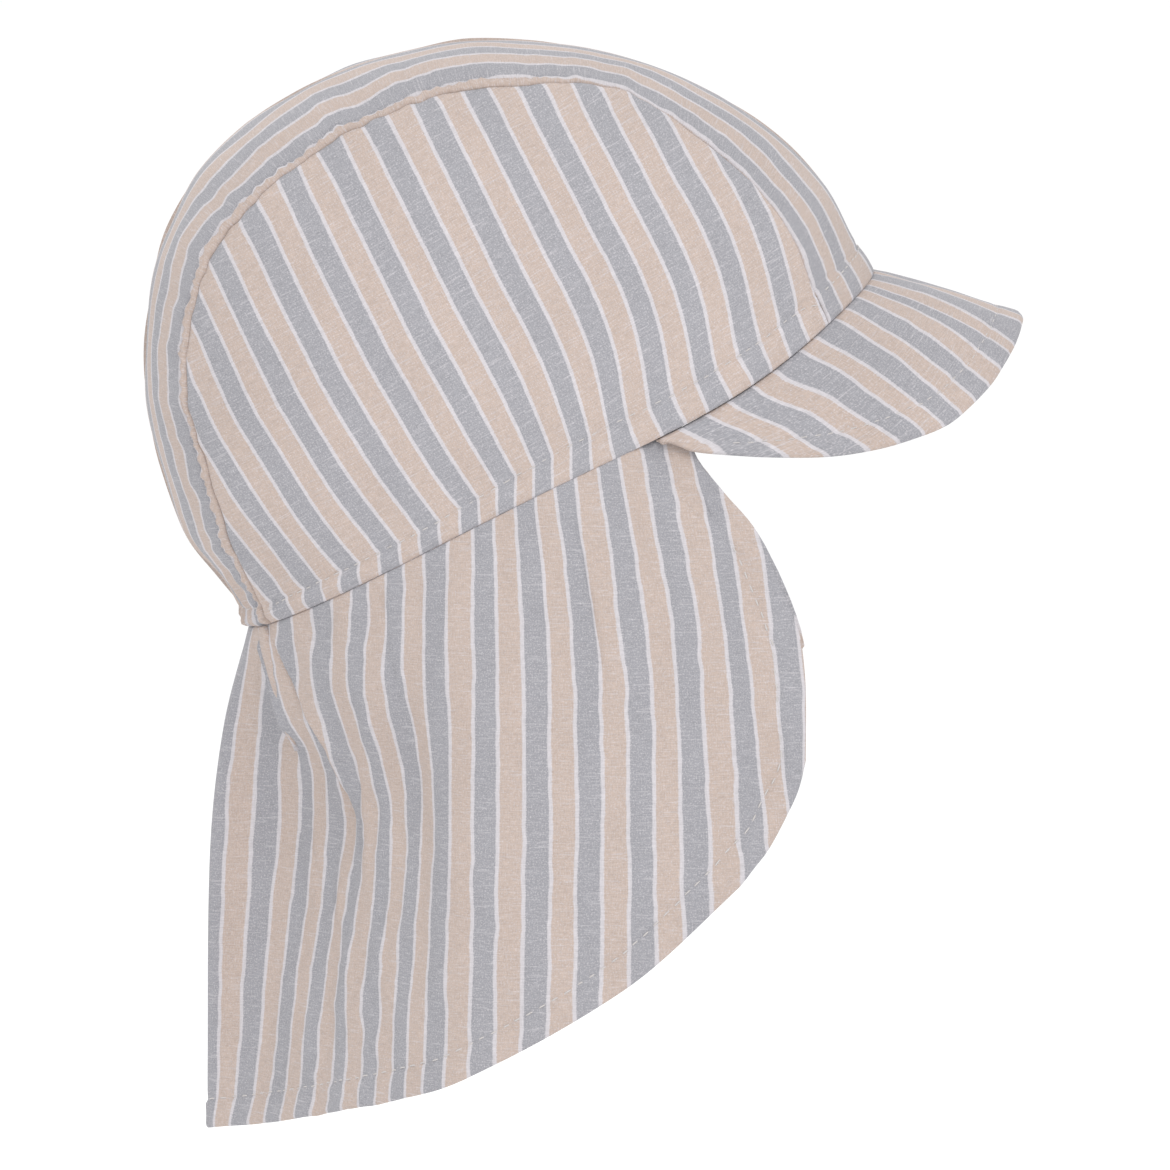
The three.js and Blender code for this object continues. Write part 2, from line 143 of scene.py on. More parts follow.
# Soft creases down the flap: cloth at the top and bottom, start and end, depth, width, cloth hidden in the fold
CREASES = [
    (31, 50, 0.0, 0.44, 2.3, 2.6, 5.0), (56, 53, 0.3, 0.5, 0.6, 3.0, 0), (127.5, 131.5, 0.02, 0.42, 0.9, 2.2, 1.3),
    (29, 38, 0.4, 0.62, 0.6, 3.0, 0), (44, 41, 0.45, 0.8, 0.5, 3.5, 0), (64, 60, 0.3, 0.7, 0.5, 3.5, 0),
    (72, 78, 0.02, 0.3, 0.6, 2.6, 0), (92, 90, 0.0, 0.22, 0.5, 2.4, 0), (107, 109, 0.0, 0.2, 0.5, 2.4, 0),
    (143, 146, 0.03, 0.3, 0.5, 3.0, 0),
]
# The flap's grid: start, end and step along the cloth, finer in the folds
FLAP_STEPS = [(0, 10, 0.7), (10, 30, 0.62), (30, 52, 0.75), (52, 120, 1.3), (120, 136, 0.8), (136, 172, 1.3)]
# How far the cut's stripes have wandered from an even count of lines across the flap
WANDER_CLOTH = [0, 15, 30, 45, 60, 72, 85, 100, 115, 130, 150, 162, 170, 181]
WANDER = [2.1, 1.5, 2.3, 1.7, 2.2, 1.9, 1.5, 2.9, 3.3, 2.7, 2.7, 3.0, 3.8, 3.8]

# ---------------------------------------------------------------- small tools


def through(xs, ys, x):
    """A smooth curve through a table's rows."""
    xs, ys, x = np.asarray(xs, float), np.asarray(ys, float), np.asarray(x, float)
    last = len(xs) - 1
    low = np.maximum(np.arange(last + 1) - 1, 0)
    high = np.minimum(np.arange(last + 1) + 1, last)
    slope = (ys[high] - ys[low]) / (xs[high] - xs[low])
    i = np.clip(np.searchsorted(xs, x, side="left") - 1, 0, last - 1)
    h = xs[i + 1] - xs[i]
    t = np.clip((x - xs[i]) / h, 0, 1)
    a = 2 * t**3 - 3 * t**2 + 1
    b = t**3 - 2 * t**2 + t
    c = t**3 - t**2
    return a * ys[i] + (1 - a) * ys[i + 1] + h * (b * slope[i] + c * slope[i + 1])


def smooth(x, low, high):
    """A soft step from 0 at low to 1 at high, which may be the smaller one."""
    t = np.clip((np.asarray(x, float) - low) / (high - low), 0, 1)
    return t * t * (3 - 2 * t)


def bump(x):
    """A round hill of height 1 and half width 1."""
    return np.exp(-np.square(x))


def mix(a, b, t):
    return a + (b - a) * t


def noise(x, y, seed):
    """Smooth value noise from -1 to 1, the same on every run."""
    x, y = np.broadcast_arrays(np.asarray(x, float), np.asarray(y, float))
    xi, yi = np.floor(x).astype(np.int64), np.floor(y).astype(np.int64)
    fx, fy = x - xi, y - yi
    fx, fy = fx * fx * (3 - 2 * fx), fy * fy * (3 - 2 * fy)

    def at(a, b):
        n = (a * 374761393 + b * 668265263 + seed * 1442695041) & 0xFFFFFFFF
        n = ((n ^ (n >> 13)) * 1274126177) & 0xFFFFFFFF
        return ((n ^ (n >> 16)) & 0xFFFF) / 32767.5 - 1

    low = mix(at(xi, yi), at(xi + 1, yi), fx)
    high = mix(at(xi, yi + 1), at(xi + 1, yi + 1), fx)
    return mix(low, high, fy)


def tilted(x, y, z):
    """From the opening's plane to the part's frame."""
    c, s = math.cos(TILT), math.sin(TILT)
    x, y, z = np.broadcast_arrays(x, y, z)
    return np.stack([x * c - z * s, y, x * s + z * c], -1)


def outline_points(count):
    """The crown's outline in its middle plane, as a smooth curve through its table."""
    p = np.array(CROWN_PROFILE) * [HALF_LENGTH, CROWN_HEIGHT]
    last = len(p) - 1
    t = np.linspace(0, last, count + 1)
    i = np.minimum(np.floor(t).astype(int), last)
    w = (t - i)[:, None]
    p0, p1 = p[np.maximum(i - 1, 0)], p[i]
    p2, p3 = p[np.minimum(i + 1, last)], p[np.minimum(i + 2, last)]
    v0, v1 = (p2 - p0) / 2, (p3 - p1) / 2
    return (2 * p1 - 2 * p2 + v0 + v1) * w**3 + (-3 * p1 + 3 * p2 - 2 * v0 - v1) * w**2 + v0 * w + p1


OUTLINE = outline_points(420)
OUTLINE_TURN = np.arctan2(np.maximum(OUTLINE[:, 1], 0), OUTLINE[:, 0])
OUTLINE_REACH = np.hypot(OUTLINE[:, 0], OUTLINE[:, 1])
OUTLINE_RUN = np.concatenate([[0], np.cumsum(np.hypot(*np.diff(OUTLINE, axis=0).T))])


def reach_at(turn):
    """How far the outline is from the middle of the opening, by the turn round it."""
    return np.interp(turn, OUTLINE_TURN, OUTLINE_REACH)


def narrowing(y):
    """The share of its full reach that the crown keeps at y from its middle plane."""
    return np.maximum(1 - np.abs(y / HALF_WIDTH) ** ROUNDNESS, 0) ** (1 / ROUNDNESS)


def side_depth(x, z):
    """How far the crown's side is from the middle plane."""
    up = np.maximum(z, 0)
    share = np.minimum(np.hypot(x, up) / reach_at(np.arctan2(up, x)), 1)
    return HALF_WIDTH * np.maximum(1 - share**ROUNDNESS, 0) ** (1 / ROUNDNESS)


def edge_height(x):
    """The dip of the opening's edge over the ears."""
    turn = np.degrees(np.arccos(np.clip(x / HALF_LENGTH, -1, 1)))
    return -SIDE_DIP * bump((turn - 62) / 29)


def section_run(y, reach):
    """Length of the crown's section from its middle out to y."""
    t = np.linspace(0, 1, 90)
    rows = np.array([
        np.interp(np.abs(yy), t * np.abs(yy).max(), np.concatenate([[0], np.cumsum(np.hypot(
            np.diff(t * np.abs(yy).max()), np.diff(r * narrowing(t * np.abs(yy).max()))))]))
        for yy, r in zip(y, reach)
    ])
    return rows


def panel_half(turn):
    """Half the centre panel's width, with the small waves of its seam."""
    run = np.interp(turn, OUTLINE_TURN, OUTLINE_RUN)
    wave = 0.42 * noise(run / 3.3, 0, 15) + 0.25 * noise(run / 7.2, 0, 16)
    wave = wave * smooth(np.degrees(turn), 30, 55) * smooth(np.degrees(turn), 179, 172)
    return HALF_WIDTH * through(CENTRE_TURN, CENTRE_WIDE, np.degrees(turn)) + wave


def casing_height(x):
    """The casing's stitches over the edge of the opening."""
    return mix(5.0, 7.6, smooth(x, -45, 15))


def gathers(along, height, x):
    """Ripples that the elastic draws up at the nape."""
    nape = smooth(-x, 0.45 * HALF_LENGTH, 0.9 * HALF_LENGTH)
    low = np.exp(-np.maximum(height, 0) / 12)
    return GATHER_DEPTH * nape * low * np.cos(2 * np.pi * along / GATHER_PITCH)


# ---------------------------------------------------------------- meshes


def grid_normals(p):
    """The unit normals of a grid of points."""
    across = np.gradient(p, axis=0)
    down = np.gradient(p, axis=1)
    n = np.cross(across, down)
    return n / np.maximum(np.linalg.norm(n, axis=-1, keepdims=True), 1e-12)


def from_inside(p):
    """The way out at each place of the crown, seen from a place in its hollow."""
    return p - [0, 0, 20]


def calmed(p, reach):
    """The grid with its small relief averaged out over reach steps each way."""
    for axis in (0, 1):
        pad = [(0, 0)] * 3
        pad[axis] = (reach, reach)
        wide = np.cumsum(np.pad(p, pad, mode="reflect", reflect_type="odd"), axis=axis)
        wide = np.concatenate([np.zeros_like(np.take(wide, [0], axis)), wide], axis)
        count, steps = 2 * reach + 1, p.shape[axis]
        p = (np.take(wide, range(count, count + steps), axis) - np.take(wide, range(steps), axis)) / count
    return p


def edge_round(count_u, count_v, p, wall):
    """How far the outer face drops towards the middle of the wall near the sheet's four edges."""
    du = np.linalg.norm(np.diff(p, axis=0), axis=-1)
    dv = np.linalg.norm(np.diff(p, axis=1), axis=-1)
    u0 = np.concatenate([np.zeros((1, count_v)), np.cumsum(du, 0)])
    v0 = np.concatenate([np.zeros((count_u, 1)), np.cumsum(dv, 1)], 1)
    near = np.minimum(np.minimum(u0, u0[-1:] - u0), np.minimum(v0, v0[:, -1:] - v0))
    r = wall / 2
    q = np.clip(1 - near / (1.6 * r), 0, 0.92)
    return r * (1 - np.sqrt(1 - q * q))


def sheet_mesh(name, p, wall, cloth, outward, material, calm=0):
    """A closed sheet from a grid of outer points. cloth is stripe phase, run down the cloth and run across it."""
    nu, nv = p.shape[:2]
    n = grid_normals(calmed(p, calm) if calm else p)
    sign = np.sign(np.sum(n * outward(p)))
    n = n * sign
    drop = edge_round(nu, nv, p, wall)[..., None]
    outer = p - n * drop
    inner = p - n * (wall - drop)
    ids = np.arange(nu * nv).reshape(nu, nv)
    a, b, c, d = ids[:-1, :-1], ids[1:, :-1], ids[1:, 1:], ids[:-1, 1:]
    quads = np.stack([a, b, c, d], -1).reshape(-1, 4)
    if sign < 0:
        quads = quads[:, ::-1]
    below = quads[:, ::-1] + nu * nv
    ring = np.concatenate([ids[:-1, 0], ids[-1, :-1], ids[:0:-1, -1], ids[0, :0:-1]])
    after = np.roll(ring, -1)
    rim = np.stack([ring, ring + nu * nv, after + nu * nv, after], -1)
    if sign < 0:
        rim = rim[:, ::-1]
    faces = np.concatenate([quads, below, rim])
    points = np.concatenate([outer.reshape(-1, 3), inner.reshape(-1, 3)]) * MM
    mesh = bpy.data.meshes.new(name)
    mesh.from_pydata(points.tolist(), [], faces.tolist())
    values = np.concatenate([cloth.reshape(-1, 3)] * 2).astype(np.float32)
    layer = mesh.attributes.new("cloth", "FLOAT_VECTOR", "POINT")
    layer.data.foreach_set("vector", values.ravel())
    mesh.polygons.foreach_set("use_smooth", np.ones(len(mesh.polygons), bool))
    mesh.materials.append(material)
    mesh.update()
    made = bpy.data.objects.new(name, mesh)
    bpy.context.scene.collection.objects.link(made)
    return made


def dense(count, low, high, edge):
    """Steps from low to high with a few extra ones close to both ends."""
    t = np.linspace(0, 1, count + 1)
    extra = np.array([0.2, 0.5]) * edge
    return low + (high - low) * np.unique(np.concatenate([t, extra, 1 - extra]))


# ---------------------------------------------------------------- materials

WHITE = (0.556, 0.532, 0.556)
GREY = (0.304, 0.302, 0.325)
BEIGE = (0.47, 0.38, 0.333)


def cloth_material(name, seed, painted_shade):
    """Woven cotton: grey and beige stripes with a white line between them, slubs, weave and soft sheen; painted_shade
    darkens all its colours evenly as painted shade.
    """
    # every colour is darkened evenly by painted_shade: painted shade for the piece's angle to the light
    white, grey, beige = ([c * painted_shade for c in colour] + [1] for colour in (WHITE, GREY, BEIGE))
    m = bpy.data.materials.new(name)
    m.use_nodes = True
    tree = m.node_tree
    tree.nodes.clear()

    def node(kind, **settings):
        made = tree.nodes.new(kind)
        for key, value in settings.items():
            setattr(made, key, value)
        return made

    def put(socket, value):
        if isinstance(value, bpy.types.NodeSocket):
            tree.links.new(value, socket)
        else:
            socket.default_value = value

    def maths(operation, a, b=0.0, c=0.0):
        made = node("ShaderNodeMath", operation=operation)
        for k, value in enumerate((a, b, c)):
            put(made.inputs[k], value)
        return made.outputs[0]

    def around(value, strength):
        return maths("MULTIPLY", maths("SUBTRACT", value, 0.5), strength)

    def ramp(value, low, high, to_low=0.0, to_high=1.0):
        made = node("ShaderNodeMapRange", interpolation_type="SMOOTHSTEP")
        for k, v in enumerate((value, low, high, to_low, to_high)):
            put(made.inputs[k], v)
        return made.outputs[0]

    def vector(x, y, z=0.0):
        made = node("ShaderNodeCombineXYZ")
        for k, value in enumerate((x, y, z)):
            put(made.inputs[k], value)
        return made.outputs[0]

    def grain(place, scale, detail=2.0, rough=0.6):
        made = node("ShaderNodeTexNoise", noise_dimensions="3D")
        put(made.inputs["Vector"], place)
        made.inputs["Scale"].default_value = scale
        made.inputs["Detail"].default_value = detail
        made.inputs["Roughness"].default_value = rough
        return made.outputs["Fac"]

    def blend(factor, a, b, kind="MIX"):
        made = node("ShaderNodeMix", data_type="RGBA", blend_type=kind)
        put(made.inputs[0], factor)
        put(made.inputs[6], a)
        put(made.inputs[7], b)
        return made.outputs[2]

    source = node("ShaderNodeAttribute", attribute_name="cloth")
    parts = node("ShaderNodeSeparateXYZ")
    tree.links.new(source.outputs["Vector"], parts.inputs[0])
    phase, run, across = parts.outputs

    ragged = grain(vector(maths("MULTIPLY", across, 0.9), maths("MULTIPLY", run, 3.2), seed), 1.0, 2.0)
    soft = grain(vector(maths("MULTIPLY", across, 0.1), maths("MULTIPLY", run, 0.22), seed + 3.0), 1.0, 1.0)
    shift = maths("ADD", around(ragged, 0.09), around(soft, 0.05))
    place = maths("ADD", phase, shift)
    band = maths("FLOOR", place)
    odd = maths("MODULO", maths("ADD", band, 64.0), 2.0)
    near = maths("ABSOLUTE", maths("SUBTRACT", place, maths("ROUND", place)))
    line = ramp(near, 0.058, 0.098, 1.0, 0.0)

    # threads: fine noise drawn out down the cloth and across it
    warp = grain(vector(maths("MULTIPLY", across, 3.4), maths("MULTIPLY", run, 0.5), seed), 1.0, 3.0)
    weft = grain(vector(maths("MULTIPLY", across, 0.35), maths("MULTIPLY", run, 3.6), seed + 7.0), 1.0, 3.0)
    slub = grain(vector(maths("MULTIPLY", across, 0.16), maths("MULTIPLY", run, 2.1), seed + 11.0), 1.0, 1.0)
    fleck = grain(vector(maths("MULTIPLY", across, 2.6), maths("MULTIPLY", run, 2.6), seed + 5.0), 1.0, 3.0, 0.75)
    cloudy = grain(vector(maths("MULTIPLY", across, 0.06), maths("MULTIPLY", run, 0.05), seed + 17.0), 1.0, 2.0)

    ground = blend(odd, grey, beige)
    ground = blend(maths("MULTIPLY", ramp(slub, 0.56, 0.78), 0.46), ground, white)
    ground = blend(maths("MULTIPLY", ramp(fleck, 0.5, 0.66), 0.7), ground, white)
    colour = blend(maths("MULTIPLY", line, 0.94), ground, white)
    tone = maths("ADD", around(weft, 0.5), around(warp, 0.4))
    tone = maths("ADD", tone, around(cloudy, 0.12))
    tone = maths("ADD", tone, 1.0)
    colour = blend(1.0, colour, vector(tone, tone, tone), "MULTIPLY")

    height = maths("ADD", maths("MULTIPLY", weft, 0.6), maths("MULTIPLY", warp, 0.5))
    height = maths("ADD", height, maths("MULTIPLY", fleck, 0.4))
    height = maths("ADD", height, maths("MULTIPLY", line, 0.25))
    relief = node("ShaderNodeBump")
    relief.inputs["Strength"].default_value = 0.85
    relief.inputs["Distance"].default_value = 0.00016
    put(relief.inputs["Height"], height)

    skin = node("ShaderNodeBsdfPrincipled")
    put(skin.inputs["Base Color"], colour)
    put(skin.inputs["Normal"], relief.outputs[0])
    put(skin.inputs["Roughness"], ramp(fleck, 0.3, 0.7, 0.82, 0.95))
    skin.inputs["Specular IOR Level"].default_value = 0.22
    skin.inputs["Sheen Weight"].default_value = 0.12
    skin.inputs["Sheen Roughness"].default_value = 0.5
    out = node("ShaderNodeOutputMaterial")
    tree.links.new(skin.outputs[0], out.inputs[0])
    return m


def thread_material():
    """Twisted sewing thread."""
    m = bpy.data.materials.new("thread")
    m.use_nodes = True
    skin = m.node_tree.nodes["Principled BSDF"]
    skin.inputs["Roughness"].default_value = 0.75
    skin.inputs["Sheen Weight"].default_value = 0.2
    twist = m.node_tree.nodes.new("ShaderNodeTexNoise")
    twist.inputs["Scale"].default_value = 2600
    ramp = m.node_tree.nodes.new("ShaderNodeValToRGB")
    ramp.color_ramp.elements[0].color = (0.42, 0.39, 0.38, 1)
    ramp.color_ramp.elements[1].color = (0.6, 0.58, 0.57, 1)
    m.node_tree.links.new(twist.outputs["Fac"], ramp.inputs[0])
    m.node_tree.links.new(ramp.outputs[0], skin.inputs["Base Color"])
    return m


# Each piece's factor darkens its copy of the cloth evenly. It is partly a match to the cloth's tone and partly painted
# shade: the centre strip, peak and flap are darker than the side panels because they turn from the light.
SIDE_CLOTH = cloth_material("side_cloth", 1.0, 0.985)
CENTRE_CLOTH = cloth_material("centre_cloth", 21.0, 0.95)
PEAK_CLOTH = cloth_material("peak_cloth", 41.0, 0.95)
FLAP_CLOTH = cloth_material("flap_cloth", 61.0, 0.955)
THREAD = thread_material()

# ---------------------------------------------------------------- crown, centre panel


def centre_surface(turn, side):
    """The centre panel: turn runs from front to nape, side from one seam (-1) to the other (1)."""
    half = panel_half(turn) - SEAM_GAP / 2
    y = side * half
    reach = reach_at(turn)
    run = np.interp(turn, OUTLINE_TURN, OUTLINE_RUN)
    bead = (1 - np.abs(side)) * half
    hand = np.where(side < 0, 0.0, 40.0)
    rolled = smooth(turn, 0.92, 1.25)
    lumps = 0.62 + 0.38 * np.sin(2 * np.pi * run / 3.4 + 2.6 * noise(run / 6 + hand, 0, 3))
    wide = SEAM_WIDTH * (0.9 + 0.35 * noise(run / 3.1 + hand, 0, 4))
    roll = SEAM_HEIGHT * np.sin(np.pi * np.minimum(bead / wide, 1)) ** 0.8 * rolled * lumps
    groove = -0.35 * np.exp(-bead / 0.4) - 0.42 * rolled * bump((bead - wide - 0.3) / 0.42)
    near = np.exp(-bead / 7)
    pucker = (0.55 * noise(run / 3.2 + hand, bead / 6, 5) + 0.35 * noise(run / 7.5 + hand, bead / 12, 6)) * near
    pucker = pucker * (1 + 1.3 * smooth(turn, 2.3, 2.8))
    broad = 0.6 * noise(run / 15 + hand, y / 12, 9) * smooth(turn, 0.2, 0.6)
    billow = 1.3 * (bump((np.degrees(turn) - 78) / 12) * smooth(bead, 1, 6) * np.exp(-bead / 11))
    ripple = gathers(y, reach * np.sin(turn), reach * np.cos(turn)) * 1.4
    low = np.exp(-np.maximum(reach * np.sin(turn), 0) / 14) * smooth(turn, 1.5, 2.6)
    held = (1 - np.exp(-bead / 1.1)) * smooth(reach * np.sin(turn), -0.4, 2.5)
    crinkle = low * (noise(y / 2.6, run / 9, 13) + 0.7 * np.cos(2 * np.pi * y / 5.2))
    degrees = np.degrees(turn)
    pinch = -1.9 * smooth(degrees, 162, 172) * (1 - smooth(degrees, 177.2, 180)) * bump(y / 20)
    r = (reach + roll + groove + (pucker + broad + billow + ripple + crinkle + pinch) * held) * narrowing(y)
    up = r * np.sin(turn)
    x = r * np.cos(turn)
    foot = np.exp(-np.maximum(up, 0) / 8)
    casing = casing_height(x)
    seat = 0.35 * bump((up - casing / 2) / (casing / 2.4)) - 0.45 * bump((up - casing) / 0.7)
    p = tilted(x, y, up + foot * edge_height(x))
    out = tilted(np.cos(turn) + 0 * y, 0.3 * side, np.sin(turn) + 0 * y)
    return p + out * (seat * (1 - smooth(up, 12, 16)))[..., None], run


def centre_panel():
    turn = dense(330, 0, np.pi, 0.004)[:, None]
    half = np.unique(np.concatenate([dense(44, 0, 1, 0.01), 1 - np.arange(0, 0.1, 0.008)]))
    side = np.concatenate([-half[:0:-1], half])[None, :]
    turn, side = np.broadcast_arrays(turn, side)
    p, run = centre_surface(turn, side)
    width = panel_half(turn) - SEAM_GAP / 2
    reach = reach_at(turn)
    across = section_run(width * side, reach[:, 0])
    inside = across[:, :1] - across
    hand = np.where(side < 0, 0.0, 40.0)
    nearby = np.exp(-inside / 26) * smooth(inside, -0.5, 2.5)
    wave = (0.95 * noise(run / 4.6 + hand, inside / 14, 23) + 0.8 * noise(run / 11 + hand, inside / 24, 24)) * nearby
    rolled = smooth(turn, 0.92, 1.25)
    start = mix(0.6, SEAM_WIDTH + 0.35, rolled)
    total = inside[:, inside.shape[1] // 2][:, None]
    ahead = smooth(inside / total, 0.3, 1.0) * (CENTRE_COUNT * STRIPE + start - total)
    phase = 65 - (inside + wave * smooth(total - inside, 0, 8) - start + ahead) / STRIPE
    cloth = np.stack([phase, run, across * np.sign(side)], -1)
    made = sheet_mesh("crown_centre_cloth", p, CROWN_WALL, cloth, from_inside, CENTRE_CLOTH, FOLD_REACH)
    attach(made, "root")
    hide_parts("crown_centre_panel")
    return made


# ---------------------------------------------------------------- crown, side panels


def stripe_place(n, z):
    """Where line n of the side panel lies along the opening, at height z over its plane."""
    bend = np.where(n < 0, 0.0227, 0.0155)
    x = 0.5 + SIDE_PITCH * n - bend * n**3
    gather = through([-7, -4, -2, 0, 2, 4, 7], [4.6, 3.9, 1.4, -3.6, -9.1, -8.6, -7.4], n)
    x = x + gather * np.exp(-((np.maximum(z, 0) / 18.5) ** 1.6))
    return x + 2.3 * np.maximum(z - 46, 0) / 40


def stripe_number(x, z):
    """The line that passes a place, as a number with a fraction: stripe_place turned round."""
    n = x / SIDE_PITCH
    for _ in range(12):
        n = n - (stripe_place(n, z) - x) / 12.0
    return n


def side_surface(share, up):
    """The right side panel: share runs along its edges from front to nape, up from the opening to the seam."""
    nape = np.pi - 0.03
    turn = nape * share
    seam_y = panel_half(turn) + SEAM_GAP / 2
    seam_r = reach_at(turn) * narrowing(seam_y)
    seam_x, seam_z = seam_r * np.cos(turn), seam_r * np.sin(turn)
    front_x = reach_at(0) * narrowing(panel_half(0) + SEAM_GAP / 2)
    nape_x = -reach_at(np.pi) * narrowing(panel_half(np.pi) + SEAM_GAP / 2)
    foot_x = mix(front_x, nape_x, share + 0.04 * np.sin(2 * np.pi * share))
    x = mix(foot_x, seam_x, up)
    z = mix(edge_height(foot_x), seam_z, up)
    depth = side_depth(x, z)
    ripple = gathers(x * 1.2, z, x) * (1 - up) * smooth(up, -0.2, 0.05)
    h = z - edge_height(np.clip(x, -HALF_LENGTH, HALF_LENGTH))
    casing = casing_height(x)
    to_seam = (1 - up) * np.hypot(seam_x - foot_x, seam_z - edge_height(foot_x)) * 1.1
    groove = -0.3 * np.exp(-to_seam / 0.5)
    tuft = 0.4 * noise(share * 66, to_seam / 5, 31) * np.exp(-to_seam / 5)
    seat = 0.4 * bump((h - casing / 2) / (casing / 2.2)) - 0.42 * bump((h - casing) / 0.75)
    tucks = 0.5 * noise(x / 2.5, h / 6, 33) * np.exp(-np.abs(h - casing) / 4.5)
    ear = bump((x + 3) / 24)
    folds = 0.55 * noise((x - 0.35 * h) / 4.2, h / 24, 37) * np.exp(-np.maximum(h, 0) / 12) * (0.6 + ear)
    broad = 0.5 * noise(x / 15, z / 17, 39)
    held = (1 - np.exp(-to_seam / 1.1)) * smooth(h, -0.4, 2.5)
    lift = groove + (ripple + tuft + seat + tucks + folds + broad * smooth(h, 4, 14)) * held
    flat = np.stack([x, -depth, 0.55 * np.maximum(z, 0)], -1)
    flat = flat / np.linalg.norm(flat, axis=-1, keepdims=True)
    p = np.stack([x, -depth, z], -1) + flat * lift[..., None]
    return tilted(p[..., 0], p[..., 1], p[..., 2]), x, z, h, casing


def side_panel(name, node, hand):
    share = dense(330, 0, 1, 0.003)[:, None]
    up = dense(88, 0, 1, 0.006)[None, :]
    share, up = np.broadcast_arrays(share, up)
    p, x, z, h, casing = side_surface(share, up)
    back = 1 - smooth(x, -15, 25)
    lean = 0.57 * np.maximum(casing - h, 0) * back * mix(0.3, 1.0, smooth(x, -80, -58))
    to_seam = (1 - up) * 60
    wave = 0.35 * noise(x / 9, h / 10, 43) * np.exp(-np.maximum(h, 0) / 18)
    wave = wave + 0.6 * noise(x / 5, h / 5, 44) * np.exp(-to_seam / 4)
    number = stripe_number(x + lean + wave, z)
    cloth = np.stack([2 * number + 33, z, x], -1)
    p = p * [1, hand, 1]
    made = sheet_mesh(name, p, CROWN_WALL, cloth, from_inside, SIDE_CLOTH, FOLD_REACH)
    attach(made, "root")
    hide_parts(node)
    return made


# ---------------------------------------------------------------- peak


def peak_surface(side, out):
    """The peak: side runs from corner to corner, out from the crown to the outer edge."""
    w = 0.9985 * np.sin(side * np.pi / 2)
    y = w * PEAK_SIDE
    band_x = HALF_LENGTH * narrowing(y)
    seat = tilted(band_x, y, edge_height(band_x) - SEAT_GAP)
    edge_x = PEAK_BACK + (PEAK_TIP - PEAK_BACK) * (1 - np.abs(w) ** 2.3) ** (1 / 2.3)
    fall = through(PEAK_SHARE, PEAK_FALL, np.abs(w))
    normal = np.stack([band_x**1.2 / HALF_LENGTH**2.2, np.sign(y) * np.abs(y) ** 1.2 / HALF_WIDTH**2.2], -1)
    normal = normal / np.linalg.norm(normal, axis=-1, keepdims=True)
    length = np.maximum(edge_x - seat[..., 0], 0.6)
    bow = 1.6 * np.sin(np.pi * out) * np.minimum(length / 30, 1) * mix(0.3, 1.0, smooth(np.abs(w), 0.05, 0.35))
    ripple = 0.28 * noise(out * length / 9, y / 7, 51) * smooth(out * length, 0, 4)
    bound = -0.3 * bump(((1 - out) * length - PEAK_HEM) / 0.6)
    z = seat[..., 2] - fall * length * out + bow + ripple + bound
    tuck = PEAK_TUCK * (1 - smooth(out * length, 0, 1.4))
    z = z + 0.2 * tuck
    return np.stack([seat[..., 0] + length * out - tuck * normal[..., 0], y - tuck * normal[..., 1], z], -1), y, length


def peak():
    side = dense(210, -1, 1, 0.003)[:, None]
    out = dense(46, 0, 1, 0.012)[None, :]
    side, out = np.broadcast_arrays(side, out)
    p, y, length = peak_surface(side, out)
    at = np.abs(y + 0 * out)
    count = np.arange(len(PEAK_LINES)) - 2.0
    band = through([row[0] for row in PEAK_LINES], count, at)
    edge = through([row[1] for row in PEAK_LINES], count, at)
    number = mix(band, edge, out)
    number = np.where(y > 0, -4 - number, number)
    wave = 0.06 * noise(out * length / 7, y / 9, 53) + 0.05 * noise(out * length / 3.2, y / 9, 54)
    run = y * 1.25
    cloth = np.stack([number + wave + 32, out * length, run], -1)
    made = sheet_mesh("peak_cloth_piece", p, PEAK_WALL, cloth, lambda q: [0, 0, 1] + 0 * q, PEAK_CLOTH, 6)
    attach(made, "root")
    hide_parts("peak")
    return made


# ---------------------------------------------------------------- neck flap


def seat_point(x, inside):
    """A place on the opening's edge, moved in from it."""
    along = np.clip(x, -0.991 * HALF_LENGTH, HALF_LENGTH)
    limit = np.where(along < 0, 0.991 * HALF_LENGTH, HALF_LENGTH)
    depth = HALF_WIDTH * (1 - np.minimum(np.abs(along) / limit, 1) ** ROUNDNESS) ** (1 / ROUNDNESS)
    return tilted(along, -np.maximum(depth - inside, 0), edge_height(along) - SEAT_GAP)


def flap_tables():
    """The flap's guides in millimetres, from both tables."""
    rows = []
    for cloth, seat, fan, mid, hem, hem_z in SEATED:
        top = seat_point(seat * HALF_LENGTH, TUCK * smooth(seat, 0.14, 0.26))
        rows.append((cloth, (top[0], top[1]), fan, mid, hem, top[2], hem_z * FLAP_DROP))
    for cloth, top, top_z, fan, mid, hem, hem_z in FREE:
        place = (top[0] * HALF_LENGTH, top[1] * HALF_WIDTH)
        rows.append((cloth, place, fan, mid, hem, top_z * FLAP_DROP, hem_z * FLAP_DROP))
    scale = np.array([HALF_LENGTH, HALF_WIDTH])
    cloth = np.array([r[0] for r in rows], float)
    top = np.array([r[1] for r in rows], float)
    levels = [top] + [np.array([r[k] for r in rows], float) * scale for k in (2, 3, 4)]
    return cloth, levels, np.array([r[5] for r in rows]), np.array([r[6] for r in rows])


CLOTH, LEVELS, TOP_Z, HEM_Z = flap_tables()
CLOTH_END = CLOTH[-1]
LAST_SEAT = SEATED[-1][0]


